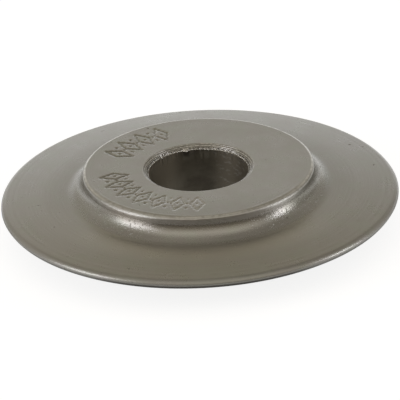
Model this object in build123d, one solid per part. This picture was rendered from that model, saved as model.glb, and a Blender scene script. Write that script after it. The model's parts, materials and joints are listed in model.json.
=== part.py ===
from build123d import *
import os
from math import radians, sin, tan

# Cutter wheel of a steel-pipe cutter, in millimetres.
# One turned piece of tool steel: a thick hub that runs on a plain pin, and a thin tapered
# disc that carries the cutting edge. Both sides are alike.
# The wheel lies on its lower hub face. The origin is on the bore axis at that face, and +Z
# is the wheel's axis.

# Disc and cutting edge
wheel_diameter = 50.8         # over the rounded tip of the cutting edge
rim_thickness = 1.16          # disc thickness where the edge bevels start
flank_angle = 5.0             # slope of each flank of the disc, in degrees
edge_angle = 115.0            # angle between the two bevels of the edge, in degrees
edge_tip_radius = 0.30        # rounding on the tip of the edge

# Hub
hub_diameter = 29.6
hub_width = 8.4               # from hub face to hub face
hub_edge_chamfer = 0.26       # break on the outer edge of each hub face
root_radius = 2.5             # hollow fillet between the hub and the disc
least_hub_wall = 0.1          # straight wall that the fillet leaves under the edge break

# Bore
pin_diameter = 12.7           # plain pin that the wheel turns on
pin_clearance = 0.10          # added to the pin's diameter for a running fit
bore_chamfer_width = 0.70     # lead-in at each end of the bore, along the radius
bore_chamfer_depth = 0.55     # the same lead-in, along the axis

# Sizes that follow from them
wheel_radius = wheel_diameter / 2
hub_radius = hub_diameter / 2
bore_radius = (pin_diameter + pin_clearance) / 2
half_width = hub_width / 2
half_rim = rim_thickness / 2
half_edge_angle = radians(edge_angle / 2)

# The bevels would meet in a sharp point a little outside the rounded tip.
sharp_radius = wheel_radius + edge_tip_radius * (1 / sin(half_edge_angle) - 1)
shoulder_radius = sharp_radius - half_rim / tan(half_edge_angle)
# Half thickness of the disc where its flanks would meet the wall of the hub.
half_root = half_rim + (shoulder_radius - hub_radius) * tan(radians(flank_angle))

# The fillet reaches this far up the hub's wall for each millimetre of its radius, so a
# narrow hub limits it.
reach_per_radius = 1 / tan(radians(90 + flank_angle) / 2)
wall_room = half_width - hub_edge_chamfer - least_hub_wall - half_root
root_fillet = min(root_radius, wall_room / reach_per_radius)

same_place = 1e-6             # corners closer than this are one corner


def upper_corners():
    """Corners of the section above its middle plane, from the bore out to the tip."""
    return [
        (bore_radius, half_width - bore_chamfer_depth),
        (bore_radius + bore_chamfer_width, half_width),
        (hub_radius - hub_edge_chamfer, half_width),
        (hub_radius, half_width - hub_edge_chamfer),
        (hub_radius, half_root),
        (shoulder_radius, half_rim),
        (sharp_radius, 0),
    ]


def sharp_section():
    """The section with its corners still sharp, alike above and below the middle plane."""
    above = upper_corners()
    below = [(r, -z) for r, z in reversed(above[:-1])]
    return make_face(Polyline(*above, *below, close=True))


def round_corner(section, r, z, radius):
    """Round the corner at radius r, at the height z above and below the middle plane."""
    corner = [v for v in section.vertices()
              if abs(v.X - r) < same_place and abs(abs(v.Y) - z) < same_place]
    return fillet(corner, radius)


def wheel_section():
    """Half section of the wheel: hub, hollow root, tapered flanks and cutting edge."""
    section = round_corner(sharp_section(), hub_radius, half_root, root_fillet)
    return round_corner(section, sharp_radius, 0, edge_tip_radius)


turned = revolve(Plane.XZ * wheel_section(), axis=Axis.Z)
cutter_wheel = Pos(0, 0, half_width) * turned
cutter_wheel.label = "cutter_wheel"

os.makedirs("parts", exist_ok=True)
export_step(cutter_wheel, "parts/cutter_wheel.step")
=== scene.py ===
import json
import math
from collections import namedtuple

import bpy
import numpy as np
from mathutils import Matrix, Vector

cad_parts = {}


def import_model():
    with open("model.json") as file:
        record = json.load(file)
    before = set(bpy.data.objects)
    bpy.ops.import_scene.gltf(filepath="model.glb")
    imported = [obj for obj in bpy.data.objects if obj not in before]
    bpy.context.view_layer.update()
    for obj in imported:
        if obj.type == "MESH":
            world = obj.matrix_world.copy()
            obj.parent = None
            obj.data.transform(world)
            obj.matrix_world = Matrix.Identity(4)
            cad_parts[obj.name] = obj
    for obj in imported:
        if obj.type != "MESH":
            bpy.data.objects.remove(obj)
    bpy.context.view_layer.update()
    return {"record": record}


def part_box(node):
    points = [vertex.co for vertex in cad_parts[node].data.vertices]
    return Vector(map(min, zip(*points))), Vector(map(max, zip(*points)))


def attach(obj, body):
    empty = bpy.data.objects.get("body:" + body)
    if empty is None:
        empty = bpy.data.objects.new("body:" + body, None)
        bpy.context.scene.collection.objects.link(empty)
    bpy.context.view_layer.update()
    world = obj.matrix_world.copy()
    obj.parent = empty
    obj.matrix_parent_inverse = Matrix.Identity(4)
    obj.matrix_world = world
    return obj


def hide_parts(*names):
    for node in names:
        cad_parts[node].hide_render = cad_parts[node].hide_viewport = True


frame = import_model()

# A pipe cutter wheel of hardened tool steel. One closed mesh is turned from the wheel's section,
# with the wear, tool marks and punched marks of a used wheel in its points and its material.
# Sizes are in millimetres, and colours are linear.
MM = 0.001
NODE = "cutter_wheel"
full_turn = 2 * math.pi

# Section of the wheel: the same turned shape as the solid
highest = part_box(NODE)[1]
wheel_radius = highest.x / MM
hub_width = highest.z / MM
bore_radius = frame["record"]["mounts"][0]["dims"]["r_mm"]
hub_radius = 14.8
hub_edge_chamfer = 0.26
root_radius = 2.5
bore_chamfer_width = 0.70
bore_chamfer_depth = 0.55
rim_thickness = 1.16
flank_angle = math.radians(5.0)
half_edge_angle = math.radians(57.5)
edge_tip_radius = 0.30

# Roundings that use has given to its corners, and a bow of its flanks
edge_shoulder_radius = 0.70
under_shoulder_radius = 0.55    # the lower shoulder is less worn
worn_radius = 0.06              # a handled part has no knife-sharp corners
hub_edge_radius = 0.40          # on both corners of the hub's edge break
flank_bow = 0.10                # how far the middle of a flank stands out from straight

# Sizes that follow from them
half_width = hub_width / 2
half_rim = rim_thickness / 2
sharp_radius = wheel_radius + edge_tip_radius * (1 / math.sin(half_edge_angle) - 1)
shoulder_radius = sharp_radius - half_rim / math.tan(half_edge_angle)
half_root = half_rim + (shoulder_radius - hub_radius) * math.tan(flank_angle)
mouth_radius = bore_radius + bore_chamfer_width     # outer edge of the lead-in
mouth_foot = half_width - bore_chamfer_depth        # height of its inner edge
same_place = 1e-6               # points closer than this are one point

# Facets
coarse_step = math.radians(1.2)             # round the axis
fine_step = math.radians(0.45)              # the same, where the hub face is stamped
STAMPED = ((-184, -78), (-258, -196))       # sectors with punched marks, in degrees
corner_gap = 0.03                           # from a rounding to the first facet that lies flat

# Upper edge of the hub, where handling has rubbed it, with a pale painted highlight on the rubbed
# spots
rubbed_radius = 0.75
Rubbed = namedtuple("Rubbed", "middle reach strength")      # middle and reach in degrees
RUBBED = (Rubbed(middle=-130, reach=27, strength=1.0),
          Rubbed(middle=-48, reach=20, strength=0.8))
rubbed_start = 0.75             # share of that radius at which the rubbed look starts
# The rubbed spots' pale colour is wear and painted highlight
rubbed_highlight = 0.3              # least brightness of a rubbed edge
rubbed_dulls = 0.5              # share of the other wear that rubbing takes away

# Small dents along the same edge
dent_reach = 0.25
dent_in = 0.12
dent_down = 0.08
dent_level = 0.9                # part of the noise round the axis that makes no dent

# Ridges of the tool on the upper lead-in of the bore
ridge_height = 0.025
ridge_pitch = 0.20
ridge_sway = 0.6                # how far they wander round the axis
ridge_margin = 0.04             # plain part at each end of the lead-in
inward_share = 0.6              # direction square to the lead-in
upward_share = 0.8

# Torn metal along the inner edge of the upper lead-in
torn_reach = 0.12               # upwards from the edge
torn_width = 0.2                # along the radius
torn_start = 0.05               # how far below the edge it starts
torn_fade = 0.03
torn_in = 0.07                  # how far it stands into the bore
torn_down = 0.03
BURR_ANGLE = -257               # the largest burr, in degrees
burr_reach = 0.05               # in radians
burr_size = 3.5                 # in units of the tear elsewhere

# Marks punched into the upper hub face: rows of lozenges, each with a dot, and dots between them
mark_stroke = 0.30              # width of a struck line
mark_depth = 0.085
mark_reach = math.radians(11)   # no mark reaches further than this from its middle
lozenge_width = 1.7
dot_length = 0.12
dot_pitch = 1.2                 # between the dots that stand between two lozenges
MarkRow = namedtuple("MarkRow", "first last count radius height last_strength")
MARK_ROWS = (
    MarkRow(first=-172, last=-92, count=7, radius=10.8, height=3.6, last_strength=0.55),
    MarkRow(first=-207, last=-246, count=4, radius=11.2, height=3.9, last_strength=0.8))

# Ripples that make the struck lines uneven: along is for each radian of turn
Ripple = namedtuple("Ripple", "size across along")
RIPPLES = (Ripple(size=0.05, across=9, along=40), Ripple(size=0.04, across=23, along=-61))


class Corner:
    """A corner of the section, and the way to the next one."""

    def __init__(self, r, z, radius, arc_steps, next_step, wear=0.0):
        self.at = np.array([r, z], float)
        self.radius = radius            # rounding of the corner
        self.arc_steps = arc_steps      # facets on that rounding
        self.next_step = next_step      # longest facet on the straight to the next corner
        self.wear = wear                # how bright handling has rubbed it, from 0 to 1


def section_corners():
    """The section from the foot of the bore, up, out over the top to the tip, and back below."""
    face_out = hub_radius - hub_edge_chamfer
    wall_end = half_width - hub_edge_chamfer
    return [
        Corner(bore_radius, -mouth_foot, worn_radius, arc_steps=3, next_step=1.5, wear=0.4),
        Corner(bore_radius, mouth_foot, worn_radius, arc_steps=3, next_step=0.06, wear=1.0),
        Corner(mouth_radius, half_width, worn_radius, arc_steps=3, next_step=0.15, wear=0.7),
        Corner(face_out, half_width, hub_edge_radius, arc_steps=3, next_step=0.15, wear=0.95),
        Corner(hub_radius, wall_end, hub_edge_radius, arc_steps=4, next_step=0.5, wear=0.25),
        Corner(hub_radius, half_root, root_radius, arc_steps=14, next_step=1.5),
        Corner(shoulder_radius, half_rim, edge_shoulder_radius, arc_steps=4, next_step=0.3),
        Corner(sharp_radius, 0, edge_tip_radius, arc_steps=6, next_step=0.3),
        Corner(shoulder_radius, -half_rim, under_shoulder_radius, arc_steps=3, next_step=3.0),
        Corner(hub_radius, -half_root, root_radius, arc_steps=8, next_step=0.5),
        Corner(hub_radius, -wall_end, hub_edge_radius, arc_steps=3, next_step=0.5, wear=0.5),
        Corner(face_out, -half_width, hub_edge_radius, arc_steps=3, next_step=2.5, wear=0.6),
        Corner(mouth_radius, -half_width, worn_radius, arc_steps=3, next_step=0.5, wear=0.35),
    ]


def rounding(before, corner, after):
    """Points on the arc that rounds a corner."""
    to_before = before.at - corner.at
    to_after = after.at - corner.at
    u = to_before / np.linalg.norm(to_before)
    v = to_after / np.linalg.norm(to_after)
    half = math.acos(np.clip(u @ v, -1, 1)) / 2
    reach = corner.radius / math.tan(half)
    centre = corner.at + (u + v) / np.linalg.norm(u + v) * corner.radius / math.sin(half)
    a = corner.at + u * reach - centre
    b = corner.at + v * reach - centre
    turn = math.pi - 2 * half
    shares = np.linspace(0, 1, corner.arc_steps + 1)
    return [centre + (a * math.sin((1 - s) * turn) + b * math.sin(s * turn)) / math.sin(turn)
            for s in shares]


def straight(start, end, longest):
    """Points between two roundings, with a close one at each end to keep the flat flat."""
    length = np.linalg.norm(end - start)
    close = min(corner_gap, length / 5)
    steps = max(1, math.ceil(length / longest))
    inner = [s for s in np.linspace(0, 1, steps + 1) if close < s * length < length - close]
    return [start + (end - start) * s for s in (close / length, *inner, 1 - close / length)]


def section_points():
    """The closed section as points, with a value for how worn each is."""
    corners = section_corners()
    count = len(corners)
    arcs = [rounding(corners[k - 1], corners[k], corners[(k + 1) % count])
            for k in range(count)]
    points, worn = [], []
    for k, corner in enumerate(corners):
        run = straight(arcs[k][-1], arcs[(k + 1) % count][0], corner.next_step)
        points += arcs[k] + run
        middle_is_most = np.sin(math.pi * np.linspace(0.1, 0.9, len(arcs[k])))
        worn += list(corner.wear * middle_is_most) + [0.0] * len(run)
    return np.array(points), np.array(worn)


def ring_angles():
    """Angles of the facets round the axis, finer in the stamped sectors."""
    angles, angle = [], 0.0
    while angle > coarse_step / 2 - full_turn:
        angles.append(angle)
        stamped = any(a <= math.degrees(angle) <= b for a, b in STAMPED)
        angle -= fine_step if stamped else coarse_step
    return np.array(angles[::-1])


def closed_rings(rows, columns):
    """Quads of a grid that closes on itself both ways, facing outward."""
    row, column = np.arange(rows)[:, None], np.arange(columns)[None, :]
    next_row, next_column = (row + 1) % rows, (column + 1) % columns
    corners = (row * columns + column, next_row * columns + column,
               next_row * columns + next_column, row * columns + next_column)
    return np.stack([c.ravel() for c in corners], axis=1)


def smooth_noise(angles, waves, seed):
    """A seeded wave round the axis, between about -1 and 1."""
    local = np.random.default_rng(seed)
    total = np.zeros_like(angles)
    for k in waves:
        total += np.cos(k * angles + local.uniform(0, full_turn)) * local.uniform(0.5, 1)
    return total / math.sqrt(len(waves))


def turn_from(angle, degrees):
    """How far each angle is from one in degrees, the shorter way round, in radians."""
    return (angle - math.radians(degrees) + math.pi) % full_turn - math.pi


def lozenge(height):
    """Outline of a lozenge round the mark's middle, as places along the arc and the radius."""
    half, tip = lozenge_width / 2, height / 2
    return [(0, tip), (half, 0), (0, -tip), (-half, 0), (0, tip)]


def dot(out):
    """A short stroke on the mark's middle line, at a distance out from the mark's middle."""
    return [(0, out - dot_length / 2), (0, out + dot_length / 2)]


def punched_marks():
    """The marks: middle angle in degrees, middle radius, how hard struck, and strokes."""
    dots = [dot(-dot_pitch), dot(0), dot(dot_pitch)]
    marks = []
    for row in MARK_ROWS:
        pitch = (row.last - row.first) / (row.count - 1)
        for k in range(row.count):
            middle = row.first + pitch * k
            strength = 1 - (1 - row.last_strength) * k / (row.count - 1)
            marks.append((middle, row.radius, strength, [lozenge(row.height), dot(0)]))
            if k < row.count - 1:
                marks.append((middle + pitch / 2, row.radius, strength, dots))
    return marks


def distance_to(points, a, b):
    """Distance of each point to the segment from a to b."""
    a, b = np.array(a, float), np.array(b, float)
    along = b - a
    share = np.clip(((points - a) @ along) / max(along @ along, 1e-9), 0, 1)
    return np.linalg.norm(points - a - share[..., None] * along, axis=-1)


def stamp_field(r, z, angle):
    """How deep each point lies in a mark of the upper hub face, from 0 to 1."""
    field = np.zeros_like(r)
    for middle, radius, strength, strokes in punched_marks():
        turn = turn_from(angle, middle)
        here = np.abs(turn) < mark_reach
        along, across = turn[here] * radius, r[here] - radius
        local = np.stack([along, across], axis=-1)
        nearest = np.full(len(along), np.inf)
        for stroke in strokes:
            for a, b in zip(stroke, stroke[1:]):
                nearest = np.minimum(nearest, distance_to(local, a, b))
        for ripple in RIPPLES:
            nearest += ripple.size * np.sin(ripple.across * across + ripple.along * turn[here])
        depth = np.clip(1 - (nearest - mark_stroke / 4) / (mark_stroke / 2), 0, 1)
        rounded = depth * depth * (3 - 2 * depth)
        field[here] = np.maximum(field[here], strength * rounded)
    on_face = (z > half_width - same_place) & (r > mouth_radius)
    return np.where(on_face, field, 0)


def rub_edge(r, z, angle):
    """Round the upper edge of the hub further where it has been rubbed, and say how far."""
    rub = 0 * angle
    for spot in RUBBED:
        turn = turn_from(angle, spot.middle)
        rub = rub + spot.strength * np.exp(-(turn / math.radians(spot.reach)) ** 2)
    out = r - (hub_radius - rubbed_radius)
    up = z - (half_width - rubbed_radius)
    near_edge = (out > 0) & (up > 0)
    reach = np.hypot(out, up)
    beyond = near_edge & (reach > rubbed_radius)
    share = np.where(beyond, rubbed_radius / np.maximum(reach, same_place) - 1, 0) * rub
    look = np.clip((reach / rubbed_radius - rubbed_start) / (1 - rubbed_start), 0, 1)
    rubbed = rub * near_edge * look
    return r + out * share, z + up * share, rubbed


def lead_in_ridges(r, z, angle):
    """The tool's ridges on the upper lead-in: 1 on a crest, -1 in a valley, 0 elsewhere."""
    there = (z > mouth_foot + ridge_margin) & (z < half_width - ridge_margin)
    there = there & (r < mouth_radius)
    sway = ridge_sway * np.sin(angle)
    return np.sin(full_turn * (r - bore_radius) / ridge_pitch + sway) * there


def torn_metal(r, z, angle):
    """The torn inner edge of the lead-in: where it is, how far it is torn, and where it gets
    painted glints.
    """
    above = z - mouth_foot
    edge = np.exp(-(above / torn_reach) ** 2) * np.clip((above + torn_start) / torn_fade, 0, 1)
    edge = edge * (r < bore_radius + torn_width)
    burr = np.exp(-(turn_from(angle, BURR_ANGLE) / burr_reach) ** 2)
    ragged = smooth_noise(angle, range(31, 131, 7), seed=3)
    torn = edge * (np.clip(ragged, -0.1, 1.5) + burr_size * burr)
    glint = edge * np.clip(0.45 + 0.5 * ragged + burr, 0, 1)
    return edge, torn, glint


def bow_flanks(r, z):
    """Make both flanks of the disc a little convex."""
    along = np.clip((r - hub_radius) / (shoulder_radius - hub_radius), 0, 1)
    on_disc = np.abs(z) < half_root + root_radius
    return z + np.sign(z) * flank_bow * 4 * along * (1 - along) * on_disc


def dent_edge(r, z, angle):
    """Small dents along the upper edge break of the hub."""
    out = r - hub_radius + hub_edge_chamfer / 2
    up = z - half_width + hub_edge_chamfer / 2
    near_edge = np.exp(-(out ** 2 + up ** 2) / dent_reach ** 2)
    dents = np.clip(smooth_noise(angle, range(11, 71, 6), seed=8) - dent_level, 0, 1)
    return r - dent_in * dents * near_edge, z - dent_down * dents * near_edge


def wheel_surface():
    """The wheel's points, section points by angles, and the values that its material reads."""
    points, worn = section_points()
    angles = ring_angles()
    r = points[:, 0][:, None] + 0 * angles
    z = points[:, 1][:, None] + 0 * angles
    angle = angles + 0 * r
    stamp = stamp_field(r, z, angle)
    z = z - mark_depth * stamp
    r, z, rubbed = rub_edge(r, z, angle)
    ridge = lead_in_ridges(r, z, angle)
    torn_edge, torn, glint = torn_metal(r, z, angle)
    r = r - inward_share * ridge_height * ridge - torn_in * torn
    z = z + upward_share * ridge_height * ridge - torn_down * torn
    z = bow_flanks(r, z)
    r, z = dent_edge(r, z, angle)
    wear = np.maximum(worn[:, None] * (1 - rubbed_dulls * rubbed), rubbed_highlight * rubbed)
    values = {"wear": wear, "stamp": stamp, "torn": torn_edge, "crest": 0.5 + 0.5 * ridge,
              "glint": glint, "rubbed": rubbed}
    return np.stack([r * np.cos(angle), r * np.sin(angle), z + half_width], axis=2), values


def build_wheel():
    """The wheel as one closed mesh with smooth faces."""
    grid, values = wheel_surface()
    quads = closed_rings(*grid.shape[:2])
    mesh = bpy.data.meshes.new("wheel")
    mesh.from_pydata((grid.reshape(-1, 3) * MM).tolist(), [], quads.tolist())
    mesh.polygons.foreach_set("use_smooth", np.ones(len(mesh.polygons), bool))
    for name, value in values.items():
        layer = mesh.attributes.new(name, "FLOAT", "POINT")
        layer.data.foreach_set("value", value.ravel().astype(np.float32))
    mesh.update()
    wheel = bpy.data.objects.new("wheel", mesh)
    bpy.context.scene.collection.objects.link(wheel)
    return wheel


class Tree:
    """Short calls for building the nodes of a material or a world."""

    def __init__(self, owner):
        owner.use_nodes = True
        self.nodes = owner.node_tree.nodes
        self.links = owner.node_tree.links
        self.shader = self.nodes.get("Principled BSDF")

    def put(self, socket, value):
        """Link an output to the socket, or set its plain value."""
        if isinstance(value, bpy.types.NodeSocket):
            self.links.new(value, socket)
        elif value is not None:
            socket.default_value = value

    def coordinates(self, name):
        """The coordinates of that name."""
        return self.nodes.new("ShaderNodeTexCoord").outputs[name]

    def split(self, vector):
        """The x, y and z of a vector."""
        node = self.nodes.new("ShaderNodeSeparateXYZ")
        self.links.new(vector, node.inputs[0])
        return node.outputs

    def join(self, x, y):
        """A vector of x and y, with z at 0."""
        node = self.nodes.new("ShaderNodeCombineXYZ")
        self.links.new(x, node.inputs["X"])
        self.links.new(y, node.inputs["Y"])
        return node.outputs[0]

    def math(self, operation, a, b=None, c=None, clamp=False):
        """The result of one operation on numbers and masks."""
        node = self.nodes.new("ShaderNodeMath")
        node.operation = operation
        node.use_clamp = clamp
        for socket, value in zip(node.inputs, (a, b, c)):
            self.put(socket, value)
        return node.outputs[0]

    def times(self, first, *others):
        """The product of masks and numbers."""
        for other in others:
            first = self.math("MULTIPLY", first, other)
        return first

    def add_share(self, value, other, share, clamp=False):
        """The value, with a share of another added to it."""
        return self.math("MULTIPLY_ADD", other, share, value, clamp)

    def vector(self, operation, a, b=None, scale=None):
        """The result of one operation on vectors."""
        node = self.nodes.new("ShaderNodeVectorMath")
        node.operation = operation
        self.put(node.inputs[0], a)
        self.put(node.inputs[1], b)
        if scale is not None:
            node.inputs["Scale"].default_value = scale
        return node.outputs["Value"] if operation == "LENGTH" else node.outputs[0]

    def noise(self, vector, scale, detail=2.0, roughness=0.5):
        """A noise from 0 to 1; the scale is for each unit of the vector, on the wheel a mm."""
        node = self.nodes.new("ShaderNodeTexNoise")
        self.put(node.inputs["Vector"], vector)
        node.inputs["Scale"].default_value = scale
        node.inputs["Detail"].default_value = detail
        node.inputs["Roughness"].default_value = roughness
        return node.outputs["Fac"]

    def span(self, value, low, high, to_low=0.0, to_high=1.0):
        """A smooth step from to_low, at low, to to_high, at high."""
        node = self.nodes.new("ShaderNodeMapRange")
        node.interpolation_type = "SMOOTHSTEP"
        self.put(node.inputs["Value"], value)
        ends = {"From Min": low, "From Max": high, "To Min": to_low, "To Max": to_high}
        for name, number in ends.items():
            node.inputs[name].default_value = number
        return node.outputs[0]

    def mix(self, factor, a, b):
        """From one colour to another; a plain colour is given as red, green and blue."""
        node = self.nodes.new("ShaderNodeMix")
        node.data_type = "RGBA"
        self.put(node.inputs["Factor"], factor)
        for name, colour in (("A", a), ("B", b)):
            self.put(node.inputs[name], (*colour, 1) if isinstance(colour, tuple) else colour)
        return node.outputs["Result"]

    def attribute(self, name):
        """A value that the mesh carries at its points."""
        node = self.nodes.new("ShaderNodeAttribute")
        node.attribute_name = name
        return node.outputs["Fac"]

    def bump(self, height, distance, normal=None):
        """A normal that is tilted as if height stood out by the distance, on another normal."""
        node = self.nodes.new("ShaderNodeBump")
        node.inputs["Strength"].default_value = 1.0
        node.inputs["Distance"].default_value = distance
        self.put(node.inputs["Height"], height)
        self.put(node.inputs["Normal"], normal)
        return node.outputs["Normal"]


class Surface(Tree):
    """The wheel's material: where each point lies, shared noises, and the colour so far."""

    def __init__(self, material):
        super().__init__(material)
        self.mm = self.vector("SCALE", self.coordinates("Object"), scale=1 / MM)
        self.x, self.y, self.z = self.split(self.mm)
        self.radius = self.vector("LENGTH", self.join(self.x, self.y))
        self.turned = self.noise(self.join(self.radius, self.z), 9.0, detail=3.0, roughness=0.6)
        self.grain = self.noise(self.mm, 5.0, detail=3.0, roughness=0.6)
        self.blotch = self.noise(self.mm, 0.35, detail=3.0, roughness=0.55)
        self.pits = self.span(self.noise(self.mm, 1.1), 0.74, 0.78)
        self.torn = self.attribute("torn")
        self.colour = None

    def zone(self, inner=None, outer=None, height=None, front=None, right=None, left=None):
        """A mask that rises from the first to the second number of each limit given.

        inner and outer are distances from the axis, and height is from the floor. front, right
        and left are shares of the wheel's radius, toward the camera and along x. A limit may end
        with the mask's two ends, where these aren't 0 and 1.
        """
        limits = ((self.radius, 1, inner), (self.radius, 1, outer), (self.z, 1, height),
                  (self.y, -wheel_radius, front), (self.x, wheel_radius, right),
                  (self.x, -wheel_radius, left))
        masks = [self.span(value, limit[0] * unit, limit[1] * unit, *limit[2:])
                 for value, unit, limit in limits if limit]
        return self.times(*masks)

    def paint(self, mask, colour, strength=1.0):
        """Lay a colour over the one so far."""
        self.colour = self.mix(self.times(mask, strength), self.colour, colour)


# Colours of the steel, of what lies in and on it, and of painted light and shade
STEEL_DARK = (0.347, 0.338, 0.316)
STEEL_LIGHT = (0.364, 0.357, 0.341)
STEEL_GREEN = (0.348, 0.354, 0.321)
STEEL_PALE = (0.42, 0.415, 0.40)
FOOT_PAINTED_LIGHT = (0.49, 0.48, 0.45)
LIP_WEAR_AND_HIGHLIGHT = (0.60, 0.58, 0.54)
WORN = (0.72, 0.715, 0.68)
CREST_GLINT = (0.80, 0.78, 0.74)
TORN_GLINT = (0.95, 0.93, 0.88)
FOOT_PAINTED_SHADE = (0.25, 0.243, 0.222)
STEEL_DULL_AND_SHADE = (0.22, 0.21, 0.18)
LEAD_IN_DARK = (0.16, 0.14, 0.115)
STAMP_PAINTED_SHADE = (0.15, 0.14, 0.10)
HOLLOW_PAINTED_SHADE = (0.14, 0.13, 0.10)
WALL_PAINTED_SHADE = (0.12, 0.095, 0.065)
PIT_GRIME = (0.12, 0.10, 0.075)
BEVEL_SHADE = (0.10, 0.095, 0.085)
UNDERSIDE_SHADE = (0.09, 0.08, 0.07)
TIP_SHADE = (0.08, 0.07, 0.06)
VALLEY_SHADE = (0.06, 0.05, 0.04)
LOWER_BEVEL_SHADE = (0.04, 0.035, 0.03)
BORE_SHADE = (0.14, 0.125, 0.10)
BORE_STAIN = (0.19, 0.175, 0.14)
BORE_SIDE_LIGHT = (0.42, 0.385, 0.32)
BORE_SCRATCH = (0.60, 0.585, 0.545)

# Widths over which a colour changes
hair = 0.05
thin = 0.1

# Streaks in the bore: how fast they change along x, y and z, and how they lean, in radians
STREAK_SCALE = (0.7, 0.7, 1.5)
STREAK_LEAN = (0.25, -0.35, 0.0)

# Heights of the bumps; a negative one goes into the steel
turning_height = 0.007
grain_height = 0.018
sparkle_height = 0.032
torn_height = -0.35
pit_height = -0.03

# Roughness of the steel, and what is added to it
rough_steel = 0.33
smooth_steel = 0.28
rough_grain = 0.10
rough_bore = 0.12
rough_torn = -0.10
rough_pits = 0.2
rough_rubbed = 0.10
rough_root = -0.05
rough_tip = 0.2
metallic = 0.95


def paint_steel(s):
    """Bare steel: blotches with a cast of green, a pale grain, turning lines and pits."""
    s.colour = s.mix(s.span(s.blotch, 0.3, 0.7), STEEL_DARK, STEEL_LIGHT)
    elsewhere = s.vector("ADD", s.mm, (40.0, 7.0, 3.0))
    s.paint(s.span(s.noise(elsewhere, 0.45), 0.42, 0.62, 0.0, 0.8), STEEL_GREEN)
    s.paint(s.span(s.grain, 0.35, 0.75, 0.0, 0.25), STEEL_PALE)
    lines = s.times(s.zone(inner=(hub_radius - 2.2, hub_radius - 0.8)),
                    s.span(s.blotch, 0.35, 0.6), s.span(s.turned, 0.42, 0.62))
    s.paint(lines, STEEL_DULL_AND_SHADE, strength=0.24)
    s.paint(s.pits, PIT_GRIME, strength=0.6)


def paint_lead_in(s):
    """The lead-in of the bore: a little darker, painted shade between the tool's ridges, and
    painted glints on the crests.
    """
    # The whole lead-in a little darker
    s.paint(s.zone(outer=(mouth_radius, mouth_radius - hair)), LEAD_IN_DARK, strength=0.2)
    crest = s.attribute("crest")
    patches = s.span(s.noise(s.mm, 1.1, detail=3.0), 0.40, 0.60, 0.25, 1.0)
    # Painted shade in the valleys between the tool's ridges
    s.paint(s.times(s.span(crest, 0.45, 0.05), patches), VALLEY_SHADE, strength=0.75)
    # Painted glints on the crests of the ridges
    glitter = s.span(s.noise(s.mm, 3.5), 0.46, 0.57)
    s.paint(s.times(s.span(crest, 0.6, 0.95), glitter), CREST_GLINT, strength=0.8)


def paint_foot(s):
    """The foot of the root fillet: painted light at the front, painted shade at the back and under
    the right.
    """
    # Painted light on the front of the fillet's foot
    s.paint(s.zone(inner=(hub_radius + 1.7, hub_radius + 2.2),
                   outer=(hub_radius + 7.0, hub_radius + 2.2), front=(0.3, 0.75)), FOOT_PAINTED_LIGHT)
    # Painted shade, rising toward the back
    s.paint(s.zone(inner=(hub_radius - 0.02, hub_radius + thin),
                   outer=(hub_radius + 6.5, hub_radius + 2.5),
                   front=(0.35, 0.0, 0.0, 0.32)), FOOT_PAINTED_SHADE)
    # Painted shade in the hollow on the right front, under the wall
    s.paint(s.zone(inner=(hub_radius - 0.2, hub_radius),
                   outer=(hub_radius + 0.8, hub_radius + 0.4),
                   right=(0.36, 0.46), front=(0.05, 0.14, 0.0, 0.42)), HOLLOW_PAINTED_SHADE)


def paint_hub(s):
    """The hub: painted shade on the front of its face, worn edges, and painted shade on the wall
    under them.
    """
    # Painted shade on the near part of the hub face; the same colour also draws the turning lines
    s.paint(s.zone(height=(hub_width - 0.2, hub_width - thin), front=(0.28, 0.52, 0.0, 0.26)),
            STEEL_DULL_AND_SHADE)
    patches = s.span(s.noise(s.mm, 1.6, detail=1.0), 0.32, 0.60, 0.5, 1.0)
    # Pale worn edges; on the rubbed spots this is also painted highlight
    s.paint(s.times(s.attribute("wear"), patches), WORN)
    # Painted shade on the wall under the hub's edge, strongest at the front middle
    s.paint(s.zone(inner=(hub_radius - 0.08, hub_radius - 0.02),
                   outer=(hub_radius + 0.5, hub_radius + hair),
                   height=(half_width, hub_width, 0.0, 0.60),
                   front=(0.15, 0.45, 0.15, 1.0),
                   right=(0.5, 0.25, 0.45, 1.0),
                   left=(0.42, 0.12, 1.25, 1.0)), WALL_PAINTED_SHADE)


def paint_marks(s):
    """The punched marks: painted shade at the bottom, and a raised lip, pale from wear and painted
    highlight.
    """
    stamp = s.attribute("stamp")
    lip = s.times(s.span(stamp, 0.02, 0.2), s.span(stamp, 0.6, 0.3))
    # The lip: pale from wear, and painted highlight
    s.paint(lip, LIP_WEAR_AND_HIGHLIGHT, strength=0.3)
    # Painted shade at the bottom of the marks
    s.paint(s.span(stamp, 0.4, 0.9, 0.0, 0.5), STAMP_PAINTED_SHADE)


def paint_torn(s):
    """Painted glints on the torn metal at the mouth of the bore. The mask is handed on."""
    patches = s.span(s.noise(s.mm, 2.2, detail=3.0, roughness=0.6), 0.40, 0.55, 0.3, 1.0)
    glint = s.times(s.attribute("glint"), patches)
    # Painted glints along the torn edge
    s.paint(glint, TORN_GLINT)
    return glint


def paint_rim(s):
    """Painted shade on the cutting edge. The mask of its tip is handed on."""
    # Painted shade on the underside, on the bevel away from the front, and on the tip
    underside = s.zone(inner=(shoulder_radius + 0.15, shoulder_radius + 0.3),
                       height=(half_width + 0.04, half_width - 0.08))
    s.paint(underside, UNDERSIDE_SHADE, strength=0.35)
    behind = s.zone(inner=(shoulder_radius - hair, shoulder_radius + thin), front=(0.45, 0.1))
    s.paint(behind, BEVEL_SHADE, strength=0.32)
    tip = s.zone(inner=(wheel_radius - 0.08, wheel_radius - 0.03))
    s.paint(tip, TIP_SHADE, strength=0.3)
    # At the front: a little painted shade, and more on the lower bevel
    front = s.zone(inner=(shoulder_radius, shoulder_radius + thin), front=(0.80, 0.94))
    s.paint(front, TIP_SHADE, strength=0.18)
    below = s.zone(height=(half_width - 0.02, half_width - 0.22))
    s.paint(s.times(front, below), LOWER_BEVEL_SHADE, strength=0.8)
    return tip


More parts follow.
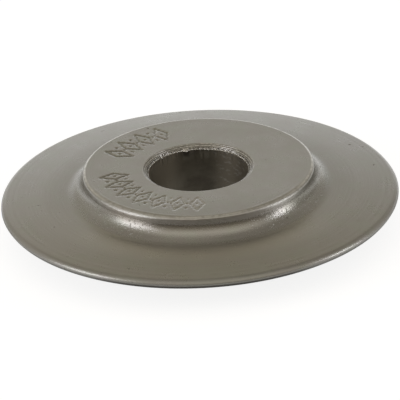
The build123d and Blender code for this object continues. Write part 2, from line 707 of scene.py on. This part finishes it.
def paint_bore(s):
    """The bore, painted dark as shade with stains in it, painted lighter toward its sides, and
    scratched on the right. Its mask is handed on.
    """
    bore = s.times(s.zone(outer=(bore_radius + hair, bore_radius)),
                   s.math("SUBTRACT", 1.0, s.torn))
    leaning = s.nodes.new("ShaderNodeMapping")
    leaning.inputs["Scale"].default_value = STREAK_SCALE
    leaning.inputs["Rotation"].default_value = STREAK_LEAN
    s.links.new(s.mm, leaning.inputs["Vector"])
    streaks = leaning.outputs[0]
    # The bore is painted dark, as shade, with stains in it
    stain = s.span(s.noise(streaks, 0.6, detail=3.0), 0.35, 0.70)
    inside = s.mix(stain, BORE_SHADE, BORE_STAIN)
    # Painted light toward the sides of the bore
    to_side = s.span(s.math("ABSOLUTE", s.x), 0.2 * bore_radius, 0.65 * bore_radius)
    inside = s.mix(to_side, inside, BORE_SIDE_LIGHT)
    scratch = s.span(s.noise(streaks, 1.6, detail=3.0, roughness=0.6), 0.54, 0.66)
    to_right = s.span(s.x, 0.25 * bore_radius, 0.65 * bore_radius, 0.0, 0.8)
    inside = s.mix(s.times(scratch, to_right), inside, BORE_SCRATCH)
    s.paint(bore, inside)
    return bore


def steel_roughness(s, root, glint, tip, bore):
    """Satin steel, duller in the bore, in pits, on the tip and where it is rubbed."""
    rough = s.span(s.blotch, 0.3, 0.7, rough_steel, smooth_steel)
    for mask, added in ((s.math("SUBTRACT", s.grain, 0.5), rough_grain), (bore, rough_bore),
                        (glint, rough_torn), (s.pits, rough_pits),
                        (s.attribute("rubbed"), rough_rubbed), (root, rough_root)):
        rough = s.add_share(rough, mask, added)
    return s.add_share(rough, tip, rough_tip, clamp=True)


def steel_normal(s, root):
    """Turning marks, grain, sparkle in the root fillet, nicks, torn metal and pits."""
    beside = s.times(s.span(s.math("ABSOLUTE", s.x), 0.15 * wheel_radius, 0.35 * wheel_radius),
                     s.zone(front=(0.1, 0.3)))
    sparkle = s.span(s.noise(s.mm, 3.2, roughness=0.6), 0.60, 0.72)
    nicks = s.times(s.noise(s.mm, 4.0, roughness=0.6), s.attribute("rubbed"))
    sparkle = s.math("ADD", s.times(sparkle, root, beside), nicks)
    normal = s.bump(s.turned, turning_height * MM)
    normal = s.bump(s.grain, grain_height * MM, normal)
    normal = s.bump(sparkle, sparkle_height * MM, normal)
    normal = s.bump(s.times(s.torn, s.noise(s.mm, 5.0)), torn_height * MM, normal)
    return s.bump(s.pits, pit_height * MM, normal)


def steel():
    """Dull hardened tool steel with faint turning marks and worn edges, painted shade in its
    hollows and under its edges, and painted highlights and glints.
    """
    material = bpy.data.materials.new("tool_steel")
    s = Surface(material)
    for paint in (paint_steel, paint_lead_in, paint_foot, paint_hub, paint_marks):
        paint(s)
    glint = paint_torn(s)
    tip = paint_rim(s)
    bore = paint_bore(s)
    root = s.zone(inner=(hub_radius - 0.02, hub_radius + thin),
                  outer=(hub_radius + 2.2, hub_radius + 1.2))
    s.put(s.shader.inputs["Base Color"], s.colour)
    s.put(s.shader.inputs["Roughness"], steel_roughness(s, root, glint, tip, bore))
    s.put(s.shader.inputs["Normal"], steel_normal(s, root))
    s.shader.inputs["Metallic"].default_value = metallic
    return material


# Floor: a pale sheet
floor_half = 4.0                # metres
# The floor's near end is painted dim, as shade
DIM_END = (-3.2, -2.1)          # in wheel radii: its near end dims over this, but not in view
dim_glow = 0.14                 # share of the glow that stays there
PAPER_LIT = (0.8, 0.8, 0.8)     # in the light that it throws on the wheel
PAPER_SEEN = (0.25, 0.25, 0.25)     # as the camera and reflections see it, before its glow
PAPER_DIM = (0.1, 0.1, 0.1)
seen_glow = 0.88                # the glow that brings open paper to white
shadow_glow = 0.84              # the same in the deepest shadow


def floor_material():
    """White where it is open, with the wheel's shadow. Its near end is painted dim, as shade, but
    not in view.
    """
    material = bpy.data.materials.new("floor")
    t = Tree(material)
    flat = t.coordinates("Object")
    path = t.nodes.new("ShaderNodeLightPath").outputs
    start, end = (share * wheel_radius * MM for share in DIM_END)
    near_end = t.span(t.split(flat)["Y"], start, end, dim_glow, 1.0)
    near_end = t.math("MAXIMUM", near_end, path["Is Camera Ray"])
    reflected = t.math("ADD", path["Is Glossy Ray"], path["Is Transmission Ray"], clamp=True)
    seen = t.math("ADD", path["Is Camera Ray"], reflected, clamp=True)
    paper = t.mix(seen, PAPER_LIT, PAPER_SEEN)
    t.put(t.shader.inputs["Base Color"], t.mix(near_end, PAPER_DIM, paper))
    shade = t.nodes.new("ShaderNodeAmbientOcclusion")
    shade.inputs["Distance"].default_value = hub_width * MM
    shade.samples = 8
    openness = shade.outputs["AO"]
    # In reflections the floor under the wheel glows a little, as painted light, and least under
    # the bore, as painted shade
    out_from_bore = t.span(t.vector("LENGTH", flat), bore_radius * MM, hub_radius * MM, 0.01, 0.15)
    mirrored = t.math("MAXIMUM", t.span(openness, 0.4, 0.9, 0.0, seen_glow), out_from_bore)
    shaded = t.span(openness, 0.0, 0.9, shadow_glow, seen_glow)
    glow = t.math("ADD", t.times(path["Is Camera Ray"], shaded), t.times(reflected, mirrored))
    t.put(t.shader.inputs["Emission Strength"], t.times(glow, near_end))
    t.shader.inputs["Emission Color"].default_value = (1, 1, 1, 1)
    t.shader.inputs["Roughness"].default_value = 0.9
    t.shader.inputs["Specular IOR Level"].default_value = 0.0
    return material


def floor():
    """The sheet that the wheel lies on."""
    half = floor_half
    mesh = bpy.data.meshes.new("floor")
    mesh.from_pydata([(-half, -half, 0), (half, -half, 0), (half, half, 0), (-half, half, 0)],
                     [], [(0, 1, 2, 3)])
    mesh.materials.append(floor_material())
    sheet = bpy.data.objects.new("floor", mesh)
    bpy.context.scene.collection.objects.link(sheet)


# Room: colours by height in degrees, behind the wheel, beside it and on the camera's side
CEILING = (80, (0.43, 0.39, 0.33))
BACK_WALL = ((15, (1, 1, 1)), (26, (0.62, 0.59, 0.545)), (34, (0.58, 0.52, 0.395)),
             (46, (0.36, 0.32, 0.24)), (60, (0.36, 0.33, 0.27)), CEILING)
SIDE_WALL = ((0, (0.58, 0.55, 0.49)), (35, (0.54, 0.50, 0.43)), (55, (0.42, 0.38, 0.32)), CEILING)
NEAR_WALL = ((0, (0.13, 0.115, 0.09)), (12, (0.30, 0.265, 0.205)), (26, (0.59, 0.54, 0.455)),
             (44, (0.86, 0.80, 0.70)), (58, (0.74, 0.69, 0.60)), CEILING)
BLACK = (0, 0, 0)


def wall(tree, height, stops):
    """A colour that changes with the height of the direction, from (degrees, colour) stops."""
    ramp = tree.nodes.new("ShaderNodeValToRGB")
    tree.links.new(height, ramp.inputs[0])
    elements = ramp.color_ramp.elements
    while len(elements) < len(stops):
        elements.new(0.5)
    for element, (degrees, colour) in zip(elements, stops):
        element.position = math.sin(math.radians(degrees))
        element.color = (*colour, 1)
    return ramp.outputs["Color"]


def world():
    """A room with a white wall low behind, warm grey above, and a front that is dim below."""
    studio = bpy.data.worlds.new("studio")
    bpy.context.scene.world = studio
    t = Tree(studio)
    direction = t.coordinates("Generated")
    height = t.split(direction)["Z"]
    level = t.vector("NORMALIZE", t.vector("MULTIPLY", direction, (1, 1, 0)))
    right, back, _ = t.split(level)
    room = t.mix(t.span(back, 0.88, 0.985), wall(t, height, SIDE_WALL), wall(t, height, BACK_WALL))
    room = t.mix(t.span(right, -0.15, 0.35, 0.0, 0.18), room, BLACK)
    room = t.mix(t.span(back, -0.1, -0.75), room, wall(t, height, NEAR_WALL))
    t.put(t.nodes["Background"].inputs["Color"], room)


# Softboxes: azimuth 0 is the camera's side and 90 the right, in degrees; size is in metres
Softbox = namedtuple("Softbox", "name azimuth height size radiance colour")
COOL = (0.94, 0.94, 1.0)
WHITE = (1, 1, 1)
SOFTBOXES = (
    Softbox("left_box", azimuth=-69, height=18, size=(0.48, 0.54), radiance=2.7, colour=COOL),
    Softbox("right_box", azimuth=84, height=14, size=(0.22, 0.44), radiance=4.5, colour=COOL),
    Softbox("back_box", azimuth=172, height=3, size=(0.60, 0.12), radiance=0.5, colour=WHITE))
softbox_distance = 0.9          # metres


def light(box):
    """A softbox that faces the wheel."""
    data = bpy.data.lights.new(box.name, "AREA")
    data.shape = "RECTANGLE"
    data.size, data.size_y = box.size
    data.energy = box.radiance * math.pi * data.size * data.size_y
    data.color = box.colour
    lamp = bpy.data.objects.new(box.name, data)
    bpy.context.scene.collection.objects.link(lamp)
    a, e = math.radians(box.azimuth), math.radians(box.height)
    toward = Vector((math.sin(a) * math.cos(e), -math.cos(a) * math.cos(e), math.sin(e)))
    lamp.location = softbox_distance * toward
    lamp.rotation_euler = (-toward).to_track_quat("-Z", "Y").to_euler()


# Camera: lengths are in wheel radii, and pixels are those of the 400 by 400 picture
elevation = math.radians(25.787)
roll = math.radians(-3.010)
distance = 29.72
radius_pixels = 198.891         # length of the wheel's radius in the picture, at its middle
image_pixels = 400
upwards = -0.0176
sensor_width = 36.0
clip_start = 0.01               # metres


def camera():
    """The photograph's camera, level with the x axis before its roll."""
    forward = Vector((0, math.cos(elevation), -math.sin(elevation)))
    right = Vector((1, 0, 0))
    up = right.cross(forward)
    middle = Vector((0, 0, half_width * MM))
    place = middle + (up * upwards - forward * distance) * wheel_radius * MM
    turned_right = math.cos(roll) * right + math.sin(roll) * up
    turned_up = -math.sin(roll) * right + math.cos(roll) * up
    data = bpy.data.cameras.new("camera")
    data.sensor_width = sensor_width
    data.lens = sensor_width * radius_pixels * distance / image_pixels
    data.clip_start = clip_start
    cam = bpy.data.objects.new("camera", data)
    bpy.context.scene.collection.objects.link(cam)
    cam.matrix_world = Matrix((
        (turned_right.x, turned_up.x, -forward.x, place.x),
        (turned_right.y, turned_up.y, -forward.y, place.y),
        (turned_right.z, turned_up.z, -forward.z, place.z),
        (0, 0, 0, 1)))
    bpy.context.scene.camera = cam


wheel = build_wheel()
wheel.data.materials.append(steel())
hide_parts(NODE)
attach(wheel, "root")

floor()
world()
for box in SOFTBOXES:
    light(box)
camera()
bpy.context.scene.view_settings.view_transform = "Standard"
